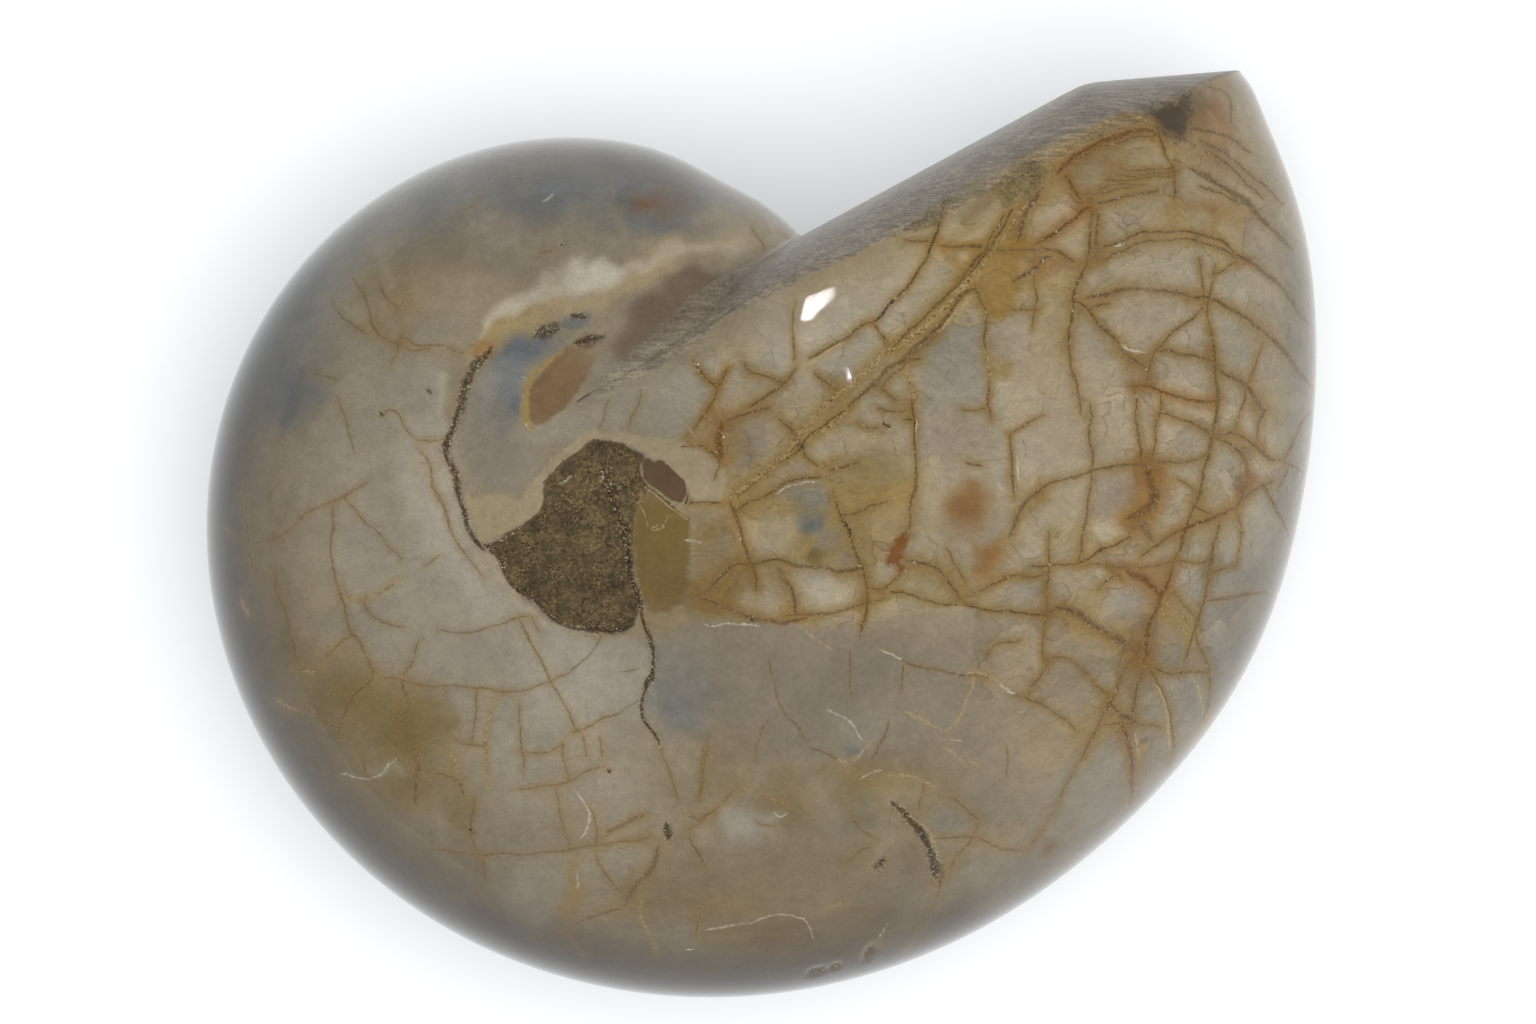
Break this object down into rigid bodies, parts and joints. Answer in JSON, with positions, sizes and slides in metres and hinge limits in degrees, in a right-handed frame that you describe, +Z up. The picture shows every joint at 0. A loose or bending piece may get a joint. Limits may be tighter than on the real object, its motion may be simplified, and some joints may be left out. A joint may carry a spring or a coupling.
{
  "type": "polished fossil nautilus",
  "caption": "Coiled fossil nautilus in calcite, ground smooth and polished all over, lying on one flank on a small flat spot.",
  "frame": {"origin": "middle of the plan, at the height of the rest spot", "axes": "+Z up, out of the upper flank; +X along the long side, towards the lip of the last coil; +Y across the coil, towards the mouth"},
  "size_m": [0.0998, 0.0834, 0.0464],
  "materials": {
    "polished_calcite": "polished calcite and sediment, grey-brown with ochre, tan and blue-grey veins"
  },
  "bodies": {
    "root": {"fossil_nautilus": "polished_calcite"}
  },
  "joints": []
}
